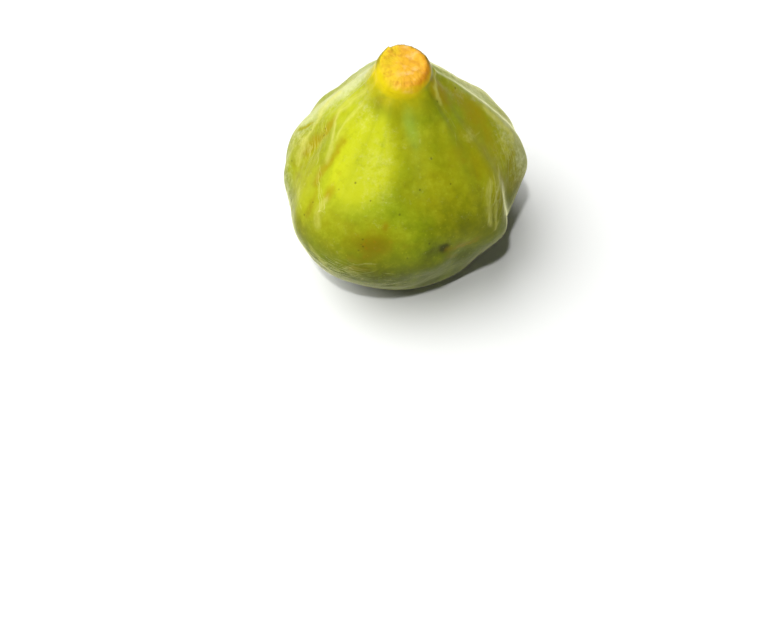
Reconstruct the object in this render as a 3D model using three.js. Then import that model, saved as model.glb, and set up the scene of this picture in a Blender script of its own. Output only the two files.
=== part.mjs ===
// A fresh fig, standing on its blossom end with the stalk end up.
// Millimetres, +Z up. The origin is on the surface it stands on, under the middle of its outline.
// Angles are in degrees, counted from +X towards +Y, so -Y, the side that the cut end faces, is -90.
import * as THREE from 'three';

// Driving dimensions.
const DIAMETER = 53;
const HEIGHT = 47.8;
const CUT_DIAMETER = 11.5;

// Half of the upright section: share of the radius, share of the height, from the resting ring to the cut.
const PROFILE = [
  [0.441, -0.012],
  [0.72, 0.062],
  [0.86, 0.19],
  [0.98, 0.36],
  [0.923, 0.52],
  [0.713, 0.66],
  [0.5, 0.78],
  [0.357, 0.862],
  [0.28, 0.91],
  [0.236, 0.943],
];

// The plan isn't round: each wave has a count of crests, a share of the radius and the angle of one crest.
const LOBES = [
  { crests: 1, share: 0.015, angle: 52 },
  { crests: 2, share: 0.045, angle: 64.5 },
  { crests: 3, share: 0.029, angle: -8 },
  { crests: 5, share: 0.027, angle: 24.5 },
  { crests: 6, share: 0.011, angle: -20 },
];

// Ribs from the neck down over the shoulder. They drift sideways on their way down to the widest ring.
const RIBS = [
  { angle: 14, drift: -10, lift: 0.95, width: 2.4 },
  { angle: 38, drift: 5, lift: 0.45, width: 2.0 },
  { angle: 63, drift: -4, lift: 0.6, width: 2.2 },
  { angle: 88, drift: 6, lift: 0.4, width: 1.8 },
  { angle: 112, drift: -3, lift: 0.65, width: 2.3 },
  { angle: 137, drift: 4, lift: 0.5, width: 2.0 },
  { angle: 162, drift: 8, lift: 0.7, width: 2.2 },
  { angle: -176, drift: 0, lift: 0.7, width: 2.0 },
  { angle: -152, drift: 8, lift: 0.6, width: 2.0 },
  { angle: -128, drift: -5, lift: 0.25, width: 2.2 },
  { angle: -104, drift: 4, lift: 0.18, width: 2.6 },
  { angle: -62, drift: 3, lift: 0.2, width: 2.6 },
  { angle: -42, drift: -8, lift: 0.45, width: 2.0 },
  { angle: -24, drift: -6, lift: 0.4, width: 1.8 },
];

// Swellings, and hollows where the skin has sunk: angle, height, lift (negative in a hollow), then the half
// width across and up the skin.
const SWELLS = [
  { angle: 0, height: 26, lift: 1.4, across: 4, along: 6 },
  { angle: -20, height: 22, lift: -1.4, across: 4, along: 6 },
  { angle: -40, height: 19, lift: 0.85, across: 4, along: 5 },
  { angle: -58, height: 17, lift: -1.6, across: 5, along: 5 },
  { angle: -70, height: 21, lift: -0.8, across: 3.4, along: 2.6 },
  { angle: -83, height: 38, lift: -0.25, across: 3.5, along: 9 },
  { angle: -146, height: 31, lift: -0.6, across: 2.4, along: 5 },
  { angle: -169, height: 31, lift: -0.8, across: 2.6, along: 4.5 },
  { angle: 148, height: 17, lift: -0.6, across: 5, along: 5 },
  { angle: 101, height: 27, lift: -0.9, across: 4.5, along: 6 },
  { angle: 0, height: 21, lift: 1, across: 3, along: 3.5 },
  { angle: 24, height: 24, lift: 0.2, across: 3, along: 4 },
  { angle: -31, height: 16, lift: 0.75, across: 3, along: 4 },
  { angle: -54, height: 8, lift: -0.6, across: 7, along: 5 },
  { angle: -151, height: 16, lift: 0.5, across: 3.5, along: 4 },
  { angle: 157, height: 26, lift: -0.35, across: 4, along: 4 },
  { angle: -38, height: 10, lift: 0.45, across: 5, along: 3.5 },
  { angle: -84, height: 10, lift: 0.65, across: 6, along: 3.5 },
  { angle: -14, height: 10, lift: 0.2, across: 5, along: 4 },
];

// Soft unevenness all over the skin.
const LUMP_HEIGHT = 0.22;

// The cut end: it tilts forward, and its front edge is worn lower than the skin edge at the back.
const CUT_TILT = { forward: 5.5, right: 4.5 };
const RIM_ROUND = 1.6;
const RIM_DROP = 1;
const DOME_START = 0.35;
const LIP_HEIGHT = 0.45;
const SPUR = { angle: 129, lift: 0.5, spread: 6 };
const NECK_LEAN = { x: 0.5, y: 2.9 };

// The eye under the fruit, closed by two rings of little scales.
const EYE_RADIUS = 3.2;
const EYE_RECESS = 1.3;
const EYE_RISE = 0.35;
const SCALE_COUNT = 7;
const SCALE_RELIEF = 0.3;

// How steeply the skin comes down from the eye, and how softly it turns into the flat ring it stands on.
const EYE_WALL_STEEPNESS = 2.2;
const REST_SOFTNESS = 0.25;

// Faces.
const SIDES = 84;
const EYE_RINGS = 6;
const REST_RINGS = 4;
const SKIN_RINGS = 30;
const RIM_RINGS = 4;
const FACE_RINGS = 3;

const FULL_RADIUS = DIAMETER / 2;
const CUT_RADIUS = CUT_DIAMETER / 2;

const { degToRad, lerp, clamp, smoothstep, euclideanModulo } = THREE.MathUtils;

// Signed angle from one direction to another, in degrees, between -180 and 180.
function turn(from, to) {
  return euclideanModulo(to - from + 180, 360) - 180;
}

// A smooth bump that is 1 at zero and fades out over about the given spread.
function bump(distance, spread) {
  return Math.exp(-((distance / spread) ** 2));
}

// The plain section as rings, from the middle of the eye under the fruit to the middle of the cut.
function sectionRings() {
  const rings = [];
  for (let step = 0; step <= EYE_RINGS; step += 1) {
    const share = step / EYE_RINGS;
    rings.push({ radius: EYE_RADIUS * share, height: EYE_RECESS - EYE_RISE * share ** 2 });
  }
  const eyeEdge = rings.at(-1);
  const restEdge = { radius: FULL_RADIUS * PROFILE[0][0], height: HEIGHT * PROFILE[0][1] };
  for (let step = 1; step <= REST_RINGS; step += 1) {
    const share = step / (REST_RINGS + 1);
    const sink = Math.min(1, share * EYE_WALL_STEEPNESS);
    rings.push({
      radius: lerp(eyeEdge.radius, restEdge.radius, share),
      height: lerp(eyeEdge.height, restEdge.height, sink),
    });
  }
  const corners = PROFILE.map(([out, up]) => new THREE.Vector2(FULL_RADIUS * out, HEIGHT * up));
  for (const point of new THREE.SplineCurve(corners).getPoints(SKIN_RINGS)) {
    rings.push({ radius: point.x, height: point.y });
  }
  for (let step = 0; step <= RIM_RINGS; step += 1) {
    const corner = degToRad((90 * step) / RIM_RINGS);
    rings.push({
      radius: CUT_RADIUS - RIM_ROUND * (1 - Math.cos(corner)),
      height: HEIGHT - RIM_ROUND * (1 - Math.sin(corner)),
    });
  }
  for (let step = 1; step <= FACE_RINGS; step += 1) {
    rings.push({ radius: (CUT_RADIUS - RIM_ROUND) * (1 - step / FACE_RINGS), height: HEIGHT });
  }
  return rings;
}

// How far the ribs lift the skin. They are strongest on the shoulder and gone at the eye and the cut.
function ribLift(radius, height, angle) {
  const share = height / HEIGHT;
  const rise = smoothstep(share, 0.02, 0.3) * 0.4 + smoothstep(share, 0.3, 0.62) * 0.6;
  const strength = rise * (1 - 0.6 * smoothstep(share, 0.82, 0.92)) * (1 - smoothstep(share, 0.95, 0.985));
  const descent = 1 - smoothstep(share, 0.35, 0.9);
  let lift = 0;
  for (const rib of RIBS) {
    const away = degToRad(turn(rib.angle + rib.drift * descent, angle)) * radius;
    const width = rib.width * clamp(radius / 15, 0.35, 1.2);
    lift += rib.lift * bump(away, width);
  }
  return lift * strength;
}

// How far the swellings push the skin out, less what the hollows take.
function swellLift(radius, height, angle) {
  let lift = 0;
  for (const swell of SWELLS) {
    const across = degToRad(turn(swell.angle, angle)) * radius;
    lift += swell.lift * bump(across, swell.across) * bump(height - swell.height, swell.along);
  }
  return lift;
}

// Three crossing waves, about 15 mm long, that keep the skin from being smooth.
function lumps(height, angle) {
  const around = degToRad(angle);
  const waves = Math.sin(7 * around + height * 0.21)
    + Math.sin(4 * around - height * 0.37 + 1.3)
    + Math.sin(11 * around + height * 0.29 + 4.1);
  return (LUMP_HEIGHT * waves) / 2;
}

// The tips of the scales that close the eye, in two rings that interlock.
function eyeRelief(radius, angle) {
  const inEye = 1 - smoothstep(radius, 0.85 * EYE_RADIUS, EYE_RADIUS);
  const outer = smoothstep(radius, 0.45 * EYE_RADIUS, 0.6 * EYE_RADIUS);
  const shift = outer * 180;
  const petal = Math.abs(Math.cos(degToRad((SCALE_COUNT * angle + shift) / 2)));
  return SCALE_RELIEF * petal * inEye * smoothstep(radius, 0, 0.25 * EYE_RADIUS);
}

// One point of the skin: the plain section, pushed out by lobes and relief, then tilted at the cut.
function skinPoint(ring, angle) {
  const { radius, height, outward } = ring;
  const around = degToRad(angle);
  const share = height / HEIGHT;
  const belly = smoothstep(share, 0, 0.25) * (1 - 0.8 * smoothstep(share, 0.62, 0.92));
  const lobes = LOBES.reduce(
    (sum, lobe) => sum + lobe.share * Math.cos(lobe.crests * degToRad(angle - lobe.angle)),
    0,
  );
  const skin = smoothstep(share, 0.03, 0.2) * (1 - smoothstep(share, 0.9, 0.97));
  const relief = ribLift(radius, height, angle)
    + skin * (lumps(height, angle) + swellLift(radius, height, angle));
  const reach = radius * (1 + belly * lobes) + relief * outward.x;
  const lean = smoothstep(share, 0.4, 1);
  const x = reach * Math.cos(around) + NECK_LEAN.x * lean;
  const y = reach * Math.sin(around) + NECK_LEAN.y * lean;

  const cap = smoothstep(share, 0.88, 1);
  const front = clamp(-Math.sin(around), 0, 1);
  const edge = smoothstep(reach, DOME_START * CUT_RADIUS, CUT_RADIUS) * cap;
  const rim = bump(reach - CUT_RADIUS + 0.5 * RIM_ROUND, RIM_ROUND) * smoothstep(share, 0.97, 1);
  const tilt = Math.tan(degToRad(CUT_TILT.forward)) * y - Math.tan(degToRad(CUT_TILT.right)) * x;
  let z = height + relief * outward.y + cap * tilt;
  z -= RIM_DROP * front * edge;
  z += rim * LIP_HEIGHT * (1 - front);
  z += rim * SPUR.lift * bump(turn(SPUR.angle, angle), SPUR.spread);
  if (height < EYE_RECESS + EYE_RISE && radius < EYE_RADIUS) {
    z -= eyeRelief(radius, angle);
  }
  return new THREE.Vector3(x, y, flattened(z));
}

// What would sink below the surface that the fig stands on lies flat on it.
function flattened(z) {
  if (z > REST_SOFTNESS) {
    return z;
  }
  return Math.max(0, z + REST_SOFTNESS) ** 2 / (4 * REST_SOFTNESS);
}

function figGeometry() {
  const rings = sectionRings();
  rings.forEach((ring, index) => {
    const before = rings[Math.max(index - 1, 0)];
    const after = rings[Math.min(index + 1, rings.length - 1)];
    const along = new THREE.Vector2(after.radius - before.radius, after.height - before.height);
    ring.outward = new THREE.Vector2(along.y, -along.x).normalize();
  });
  const section = rings.map((ring) => new THREE.Vector2(ring.radius, ring.height));
  const geometry = new THREE.LatheGeometry(section, SIDES);
  const position = geometry.attributes.position;
  for (let side = 0; side <= SIDES; side += 1) {
    const angle = ((side % SIDES) * 360) / SIDES;
    rings.forEach((ring, index) => {
      const point = skinPoint(ring, angle);
      position.setXYZ(side * rings.length + index, point.x, point.y, point.z);
    });
  }
  geometry.computeBoundingBox();
  const centre = geometry.boundingBox.getCenter(new THREE.Vector3());
  geometry.translate(-centre.x, -centre.y, 0);
  geometry.computeVertexNormals();
  return geometry;
}

const skinMaterial = new THREE.MeshStandardMaterial({
  name: 'fig_skin',
  color: 0xa3ad2b,
  roughness: 0.45,
  metalness: 0,
});

const fig = new THREE.Mesh(figGeometry(), skinMaterial);
fig.name = 'fig';

const group = new THREE.Group();
group.name = 'fresh_fig';
group.add(fig);

export default group;
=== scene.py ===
"""A fresh green fig, standing on its blossom end on a white surface in a bright room.

A wide soft lamp stands at the left, and a small one near the camera draws the shadow close to the fig.

The skin is one fine mesh. It follows the same formula as the CAD solid that it replaces, with fine veins,
folds and creases and the scar's pocks added. It carries masks (how far up a rib, how near a vein, how far
inside the scar) that the material reads. Lengths in the formula are millimetres, and angles are degrees from
+X towards +Y, so -90 faces the camera.
"""

import math

import bpy
import numpy as np
from mathutils import Matrix, Vector, noise


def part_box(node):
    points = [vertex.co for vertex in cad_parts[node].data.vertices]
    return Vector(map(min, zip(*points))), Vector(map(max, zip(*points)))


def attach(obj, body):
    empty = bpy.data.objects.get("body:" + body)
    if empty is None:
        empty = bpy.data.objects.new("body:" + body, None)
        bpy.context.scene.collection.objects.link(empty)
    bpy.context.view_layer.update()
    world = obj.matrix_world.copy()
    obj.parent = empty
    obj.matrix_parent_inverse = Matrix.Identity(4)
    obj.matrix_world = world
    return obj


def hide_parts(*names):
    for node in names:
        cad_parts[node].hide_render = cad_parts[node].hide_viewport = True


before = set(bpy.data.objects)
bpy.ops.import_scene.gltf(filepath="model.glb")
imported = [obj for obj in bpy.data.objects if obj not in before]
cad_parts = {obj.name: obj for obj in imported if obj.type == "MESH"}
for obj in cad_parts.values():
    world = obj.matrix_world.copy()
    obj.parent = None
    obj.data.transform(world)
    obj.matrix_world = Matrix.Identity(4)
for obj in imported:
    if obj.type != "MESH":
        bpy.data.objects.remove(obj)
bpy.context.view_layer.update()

MM = 0.001

# ---- the fig's form, as in the CAD solid
DIAMETER = 53
HEIGHT = 47.8
CUT_DIAMETER = 11.5
# The section, from the resting ring to the cut: share of the radius, share of the height.
PROFILE = (
    (0.441, -0.012), (0.72, 0.062), (0.86, 0.19), (0.98, 0.36), (0.923, 0.52),
    (0.713, 0.66), (0.5, 0.78), (0.357, 0.862), (0.28, 0.91), (0.236, 0.943),
)
# Waves round the plan: crests, share of the radius, angle of one crest.
LOBES = ((1, 0.015, 52), (2, 0.045, 64.5), (3, 0.029, -8), (5, 0.027, 24.5), (6, 0.011, -20))
# Ribs: angle at the neck, sideways drift down to the belly, lift, half width.
RIBS = (
    (14, -10, 0.95, 2.4), (38, 5, 0.45, 2), (63, -4, 0.6, 2.2), (88, 6, 0.4, 1.8),
    (112, -3, 0.65, 2.3), (137, 4, 0.5, 2), (162, 8, 0.7, 2.2), (-176, 0, 0.7, 2),
    (-152, 8, 0.6, 2), (-128, -5, 0.25, 2.2), (-104, 4, 0.18, 2.6), (-62, 3, 0.2, 2.6),
    (-42, -8, 0.45, 2), (-24, -6, 0.4, 1.8),
)
# Swellings and hollows: angle, height, half width across and up the skin, lift.
SWELLS = (
    (0, 26, 4, 6, 1.4), (-20, 22, 4, 6, -1.4), (-40, 19, 4, 5, 0.85), (-58, 17, 5, 5, -1.6),
    (-70, 21, 3.4, 2.6, -0.8), (-83, 38, 3.5, 9, -0.25), (-146, 31, 2.4, 5, -0.6),
    (-169, 31, 2.6, 4.5, -0.8), (148, 17, 5, 5, -0.6), (101, 27, 4.5, 6, -0.9), (0, 21, 3, 3.5, 1),
    (24, 24, 3, 4, 0.2), (-31, 16, 3, 4, 0.75), (-54, 8, 7, 5, -0.6), (-151, 16, 3.5, 4, 0.5),
    (157, 26, 4, 4, -0.35), (-38, 10, 5, 3.5, 0.45), (-84, 10, 6, 3.5, 0.65), (-14, 10, 5, 4, 0.2),
)
# Soft waves all over the skin: crests round it, turn for a millimetre of height, start.
LUMP_HEIGHT = 0.22
LUMP_WAVES = ((7, 0.21, 0), (4, -0.37, 1.3), (11, 0.29, 4.1))
# The cut end: it tilts forward and right, and its front edge is worn lower than the back one.
CUT_TILT_FORWARD = 5.5
CUT_TILT_RIGHT = 4.5
RIM_ROUND = 1.6
RIM_DROP = 1
DOME_START = 0.35
LIP_HEIGHT = 0.45
SPUR_ANGLE, SPUR_LIFT, SPUR_SPREAD = 129, 0.5, 6
NECK_LEAN_X, NECK_LEAN_Y = 0.5, 2.9
# The eye under the fruit, closed by two rings of little scales. Their limits are shares of its radius.
EYE_RADIUS = 3.2
EYE_RECESS = 1.3
EYE_RISE = 0.35
SCALE_COUNT = 7
SCALE_RELIEF = 0.3
SCALES_START, SCALES_END = 0.25, 0.85
INNER_SCALES, OUTER_SCALES = 0.45, 0.6
# How steeply the skin comes down from the eye, and how softly it turns into the resting ring.
EYE_WALL_STEEPNESS = 2.2
REST_SOFTNESS = 0.25

# Where each form begins and ends, as shares of the height.
RIBS_BEGIN, RIBS_GROW = (0.02, 0.3), (0.3, 0.62)
RIBS_CALM, RIBS_END = (0.82, 0.92), (0.95, 0.985)
RIBS_DRIFT = (0.35, 0.9)
LOBES_BEGIN, LOBES_END = (0, 0.25), (0.62, 0.92)
SKIN_BEGINS, SKIN_ENDS = (0.03, 0.2), (0.9, 0.97)
LEAN_PART, CAP_PART, RIM_PART, FACE_PART = (0.4, 1), (0.88, 1), (0.97, 1), (0.985, 1)
# The part of a rib low down, the rest on the shoulder, and what ribs and lobes lose on the neck.
RIBS_LOW, RIBS_HIGH = 0.4, 0.6
RIBS_LOSS, LOBES_LOSS = 0.6, 0.8
# Ribs have their full width where the fruit has this radius, and stay within these shares of it.
RIB_RADIUS, RIB_NARROWING = 15, (0.35, 1.2)

FULL_RADIUS = DIAMETER / 2
CUT_RADIUS = CUT_DIAMETER / 2
# Against division by zero.
TINY = 1e-9

# How finely the skin is divided here.
SIDES = 384
EYE_RINGS, REST_RINGS, SKIN_RINGS, RIM_RINGS, FACE_RINGS = 20, 14, 150, 10, 22


def smooth(value, low, high):
    """A smooth step: 0 below the low value and 1 above the high one."""
    share = np.clip((value - low) / (high - low), 0, 1)
    return share * share * (3 - 2 * share)


def turn(start, end):
    """Signed angle between two directions, from -180 to 180 degrees."""
    return np.mod(end - start + 180, 360) - 180


def towards(at, angle, whole, gone):
    """How much an angle faces a direction: 1 within `whole` degrees of it, 0 beyond `gone`."""
    return smooth(-np.abs(turn(at, angle)), -gone, -whole)


def facing_front(around):
    """How much a direction faces the front, 0 to 1."""
    return np.clip(-np.sin(around), 0, 1)


def bump(distance, spread):
    """1 at zero, fading out over about the given spread."""
    return np.exp(-((distance / spread) ** 2))


def spline(points, steps):
    """Even steps along a uniform Catmull-Rom curve through the points."""
    points = np.array(points, float)
    last = len(points) - 1
    along = np.linspace(0, last, steps + 1)
    start = np.minimum(along.astype(int), last - 1)
    share = (along - start)[:, None]
    before = points[np.maximum(start - 1, 0)]
    here = points[start]
    there = points[start + 1]
    after = points[np.minimum(start + 2, last)]
    leave = (there - before) / 2
    arrive = (after - here) / 2
    cubic = 2 * here - 2 * there + leave + arrive
    square = -3 * here + 3 * there - 2 * leave - arrive
    return cubic * share**3 + square * share**2 + leave * share + here


def section():
    """The plain section: radius, height and outward direction of each ring, from the eye to the cut."""
    rings = []
    for step in range(EYE_RINGS + 1):
        share = step / EYE_RINGS
        rings.append((EYE_RADIUS * share, EYE_RECESS - EYE_RISE * share**2))
    eye_radius, eye_height = rings[-1]
    rest_radius, rest_height = FULL_RADIUS * PROFILE[0][0], HEIGHT * PROFILE[0][1]
    for step in range(1, REST_RINGS + 1):
        share = step / (REST_RINGS + 1)
        sink = min(1, share * EYE_WALL_STEEPNESS)
        radius = eye_radius + (rest_radius - eye_radius) * share
        rings.append((radius, eye_height + (rest_height - eye_height) * sink))
    corners = [(FULL_RADIUS * out, HEIGHT * up) for out, up in PROFILE]
    rings.extend(map(tuple, spline(corners, SKIN_RINGS)))
    for step in range(RIM_RINGS + 1):
        corner = math.radians(90 * step / RIM_RINGS)
        radius = CUT_RADIUS - RIM_ROUND * (1 - math.cos(corner))
        rings.append((radius, HEIGHT - RIM_ROUND * (1 - math.sin(corner))))
    for step in range(1, FACE_RINGS + 1):
        rings.append(((CUT_RADIUS - RIM_ROUND) * (1 - step / FACE_RINGS), HEIGHT))
    rings = np.array(rings)
    along = np.gradient(rings, axis=0)
    outward = np.stack([along[:, 1], -along[:, 0]], axis=1)
    outward /= np.linalg.norm(outward, axis=1, keepdims=True)
    return rings[:, :1], rings[:, 1:], outward[:, :1], outward[:, 1:]


def rib_lift(radius, height, angle):
    """How far the ribs lift the skin: most on the shoulder, and nothing at the eye and the cut."""
    share = height / HEIGHT
    rise = smooth(share, *RIBS_BEGIN) * RIBS_LOW + smooth(share, *RIBS_GROW) * RIBS_HIGH
    strength = rise * (1 - RIBS_LOSS * smooth(share, *RIBS_CALM)) * (1 - smooth(share, *RIBS_END))
    descent = 1 - smooth(share, *RIBS_DRIFT)
    lift = 0
    for rib_angle, drift, rib_height, width in RIBS:
        away = np.radians(turn(rib_angle + drift * descent, angle)) * radius
        lift = lift + rib_height * bump(away, width * np.clip(radius / RIB_RADIUS, *RIB_NARROWING))
    return lift * strength


def humps(rows, radius, height, angle):
    """The sum of soft oval humps, and of hollows where the last value of a row is negative."""
    lift = 0
    for at, up, across, along, rise in rows:
        away = np.radians(turn(at, angle)) * radius
        lift = lift + rise * bump(away, across) * bump(height - up, along)
    return lift


def lumps(height, angle):
    """Crossing waves that keep the skin from being smooth."""
    around = np.radians(angle)
    waves = sum(np.sin(crests * around + height * climb + start) for crests, climb, start in LUMP_WAVES)
    return LUMP_HEIGHT * waves / 2


def eye_relief(radius, angle):
    """The tips of the scales that close the eye, in two rings that interlock."""
    in_eye = 1 - smooth(radius, SCALES_END * EYE_RADIUS, EYE_RADIUS)
    outer = smooth(radius, INNER_SCALES * EYE_RADIUS, OUTER_SCALES * EYE_RADIUS)
    petal = np.abs(np.cos(np.radians((SCALE_COUNT * angle + outer * 180) / 2)))
    return SCALE_RELIEF * petal * in_eye * smooth(radius, 0, SCALES_START * EYE_RADIUS)


def flattened(z):
    """What would sink below the surface that the fig stands on lies flat on it."""
    soft = np.maximum(0, z + REST_SOFTNESS) ** 2 / (4 * REST_SOFTNESS)
    return np.where(z > REST_SOFTNESS, z, soft)


# ---- what the skin carries besides its form
# Strokes over the skin: half width in millimetres, strength, then (angle, height) points along each.
# Pale ridges, where the skin is stretched.
BANDS = (
    (0.9, 0.8, (
        (164, 37.3), (168, 34.9), (172, 33.5), (176, 32.6), (-180, 30.8), (-176, 28.8), (-170, 26.3),
    )),
    (0.8, 0.8, ((-166, 43), (-169, 41.1), (-172, 37.6), (-169, 36.1), (-160, 35.3), (-153, 34.9))),
    (0.8, 0.65, ((-156, 35.1), (-150, 34), (-148, 32.6))),
    (0.6, 0.6, ((-151, 41.8), (-152, 40.4), (-154, 38), (-154, 36.5), (-151, 35.7))),
    (0.8, 0.9, ((8, 34), (6, 32.6), (6, 31.2), (4, 30), (4, 28.8), (1, 27.6))),
    (0.6, 0.8, ((14, 44.8), (-4, 44.8), (-21, 44.5), (-29, 43), (-30, 42))),
    (1, 0.3, ((162, 43.7), (-175, 44.3), (-157, 44), (-148, 42.8))),
    (0.9, 0.7, ((-32, 28.3), (-37, 27.3), (-41, 25.2), (-43, 22.6))),
    (0.6, 0.7, ((-20, 27.8), (-28, 26.8), (-34, 25.7), (-38, 23), (-40, 20.7))),
    (0.8, 0.6, ((-132, 20.2), (-128, 19), (-124, 16.6), (-121, 14.7))),
    (1, 0.6, ((-132, 29.2), (-133, 27.6), (-131, 25.4))),
    (1.2, 0.6, ((62, 42), (66, 36), (60, 30), (61, 25))),
    (1.4, 0.7, ((112, 43), (110, 37), (113, 31), (108, 25))),
    (1, 0.6, ((140, 42), (143, 36), (150, 31), (149, 27))),
)
# Browner creases, in the folds beside them, their colour partly painted shade in the folds.
CREASES = (
    (1.1, 1, ((-170, 35.9), (-170, 34.4), (-170, 33.1), (-171, 31.2), (-172, 29.8), (-171, 28.3))),
    (1.1, 1, ((-145, 35.9), (-145, 34.4), (-145, 33.1), (-146, 31.7), (-146, 30.3), (-145, 29.3))),
    (0.6, 0.5, ((-177, 26.3), (-173, 25.2), (-166, 25.2), (-158, 26.8))),
    (0.8, 0.6, ((-143, 29.3), (-140, 28.3), (-138, 26.8), (-139, 24.7))),
    (0.5, 0.8, ((174, 31.2), (173, 29.8), (171, 27.8))), (0.5, 0.4, ((-169, 38.6), (-164, 38.3))),
    (1.8, 0.6, ((4, 36.5), (0, 34.9), (-4, 33.5), (-10, 32.2))),
    (0.9, 0.5, ((-4, 26.8), (-8, 26.3), (-14, 25.2))), (1.4, 0.4, ((-42, 34), (-34, 32.6), (-36, 31))),
    (1.2, 0.25, ((-116, 27.3), (-110, 27.3), (-104, 26.3), (-98, 25.7))),
    (1.3, 0.7, ((-112, 21.9), (-108, 21.3), (-106, 22.3))), (1.2, 0.7, ((-112, 19), (-106, 19.4))),
    (1.5, 0.9, ((-65, 20), (-60, 19.8), (-54, 19.6), (-51, 20.5))),
    (0.8, 0.6, ((-66, 18.2), (-60, 15.6))), (1.3, 0.4, ((-89, 24.1), (-83, 24.1))),
    (0.8, 0.6, ((68, 40), (71, 35), (67, 30))), (0.9, 0.6, ((106, 40), (104, 35), (106, 29))),
    (0.8, 0.5, ((147, 38), (156, 31), (156, 27))),
)
# Bundles of fine raised veins, and single ones: strength, points.
VEINS = (
    (1, (
        (174, 35), (-177, 34.2), (-172, 33.4), (-163, 32.3), (-152, 31.3), (-146, 30.3), (-138, 29),
        (-132, 28),
    )),
    (0.5, ((74, 35), (80, 31), (79, 26))), (0.5, ((124, 33), (130, 28), (128, 22))),
)
LINES = (
    (0.35, ((30, 40.4), (27, 38.3), (25, 36.4), (25, 33.6), (26, 30.6), (26, 28), (26, 26))),
    (0.8, ((163, 38.3), (165, 36.1), (167, 34.4), (170, 32.4), (170, 29), (170, 26.8))),
    (0.7, ((176, 31.7), (175, 29.7), (175, 27.6))), (0.6, ((-31, 36.1), (-21, 35.3))),
    (0.7, ((-30, 35.4), (-19, 34.8))), (0.5, ((-36, 37.3), (-40, 36.3))),
    (0.6, ((-22, 34.5), (-13, 33.9))), (0.5, ((-109, 20.3), (-106, 20.8), (-101, 20.7))),
    (0.7, ((-115.5, 18), (-113, 17.7), (-110, 16.8))), (0.45, ((-110, 17.7), (-106, 17.9), (-102, 18.8))),
    (0.6, ((-97, 17.9), (-93, 17.1))), (0.6, ((-97, 15.4), (-93, 14.3))),
    (0.6, ((-90, 12.8), (-85, 12.1))), (0.6, ((-113, 20.9), (-110, 20.3))),
    (0.9, ((-127, 14.6), (-122, 14.2), (-117, 13.6), (-113, 12.2))),
    (0.8, ((-31, 28.8), (-34, 27.3), (-40, 25.7), (-44, 23))),
    (0.9, ((-18, 28.3), (-24, 27.3), (-32, 26.3), (-37, 25.2))), (0.7, ((-27, 28.5), (-32, 26.8))),
    (0.5, ((-27, 23.6), (-35, 22.4), (-40, 20.7))), (0.6, ((-4, 26.3), (-8, 23.6), (-12, 21.9))),
    (0.6, ((9, 44.9), (-18, 44.8), (-30, 43.3), (-32, 42.2))),
    (0.5, ((-30, 42), (-30, 40.6), (-30, 39.6), (-31, 38))),
    (0.5, ((-160, 25.4), (-156, 24.2), (-148, 24.2))), (0.5, ((-156, 26.3), (-151, 25.4), (-144, 25))),
    (0.6, ((52, 38), (47, 34), (46, 30))), (0.5, ((92, 34), (95, 29), (94, 25))),
)
# Half widths of a single line, of a bundle of veins and of the ridge of each, in millimetres.
LINE_REACH = 0.55
VEIN_REACH = 1.3
VEIN_WIDTH = 0.5
# The threads of a bundle: how far beside its middle, the half width, how often it comes and goes.
THREADS = ((-0.6, 0.16, 260), (0.0, 0.26, 170), (0.5, 0.15, 330))
# How far each kind of stroke stands out of the skin or sinks into it, in millimetres.
VEIN_LIFT = 0.12
LINE_LIFT = 0.06
BAND_LIFT = 0.08
CREASE_DEPTH = 0.08
# How far a stroke strays from its line, as a share of its width.
STRAYING = 0.5
# More than any distance, and the most that the skin carries, in millimetres.
FAR_AWAY = 99.0
SIDE_LIMIT = 9.0
# On the shoulder, where the lines are, a millimetre of height is about this much of skin.
SLANT = 1.3

# Small dark dots: angle, height.
DOTS = (
    (179, 30.8), (-174, 25.2), (-172, 21.9), (-172, 33.7), (-169.5, 32.9), (-140, 24.7), (-108, 25.7),
    (-109, 23.6), (-57, 31.7), (-54, 25.7), (-91, 29.3), (-108, 31.2), (-78, 32.2), (9, 40.1),
    (-120, 33), (-66, 36), (40, 28), (72, 24), (95, 33), (118, 21), (134, 35), (160, 18),
)
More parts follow.
